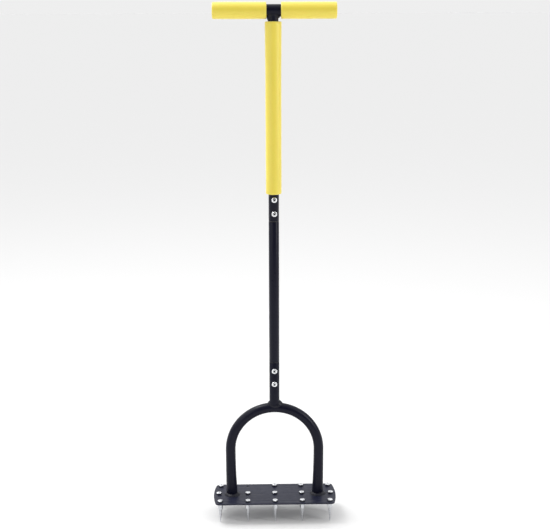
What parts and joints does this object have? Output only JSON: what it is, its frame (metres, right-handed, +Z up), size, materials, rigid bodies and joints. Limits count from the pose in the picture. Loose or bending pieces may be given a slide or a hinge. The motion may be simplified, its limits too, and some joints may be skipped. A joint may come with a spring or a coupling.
{
  "type": "lawn aerator fork",
  "caption": "Step-on lawn aerator with a foam-covered T-handle, bolted tube pole, U-shaped yoke and a foot plate of nut-fastened spikes.",
  "frame": {"origin": "middle of the footprint at the level of the spike tips, which the tool stands on", "axes": "+Z up along the pole, +X to the user's right along the crossbar and the plate, +Y to the back, -Y to the front where the pole screws have their heads"},
  "size_m": [0.2742, 0.102, 1.1262],
  "materials": {
    "black_paint": "satin",
    "plate_paint": "satin",
    "foam": "matte",
    "zinc": "satin",
    "plug_plastic": "satin"
  },
  "bodies": {
    "root": {"crossbar_tube": "black_paint", "foot_plate": "plate_paint", "handle_nut_lower": "zinc", "handle_nut_upper": "zinc", "handle_screw_lower": "zinc", "handle_screw_upper": "zinc", "handle_tube": "black_paint", "handle_weld": "black_paint", "left_foot_weld": "black_paint", "left_grip": "foam", "left_plug": "plug_plastic", "middle_tube": "black_paint", "right_foot_weld": "black_paint", "right_grip": "foam", "right_plug": "plug_plastic", "spike_back_1": "zinc", "spike_back_3": "zinc", "spike_back_4": "zinc", "spike_back_5": "zinc", "spike_front_1": "zinc", "spike_front_2": "zinc", "spike_front_3": "zinc", "spike_front_4": "zinc", "spike_front_5": "zinc", "spike_middle_1": "zinc", "spike_middle_2": "zinc", "spike_middle_3": "zinc", "spike_middle_4": "zinc", "spike_middle_5": "zinc", "spike_nut_back_1": "zinc", "spike_nut_back_3": "zinc", "spike_nut_back_4": "zinc", "spike_nut_back_5": "zinc", "spike_nut_front_1": "zinc", "spike_nut_front_2": "zinc", "spike_nut_front_3": "zinc", "spike_nut_front_4": "zinc", "spike_nut_front_5": "zinc", "spike_nut_middle_1": "zinc", "spike_nut_middle_2": "zinc", "spike_nut_middle_3": "zinc", "spike_nut_middle_4": "zinc", "spike_nut_middle_5": "zinc", "stem_grip": "foam", "yoke_nut_lower": "zinc", "yoke_nut_upper": "zinc", "yoke_screw_lower": "zinc", "yoke_screw_upper": "zinc", "yoke_stem": "black_paint", "yoke_tube": "black_paint", "yoke_weld": "black_paint"}
  },
  "joints": []
}
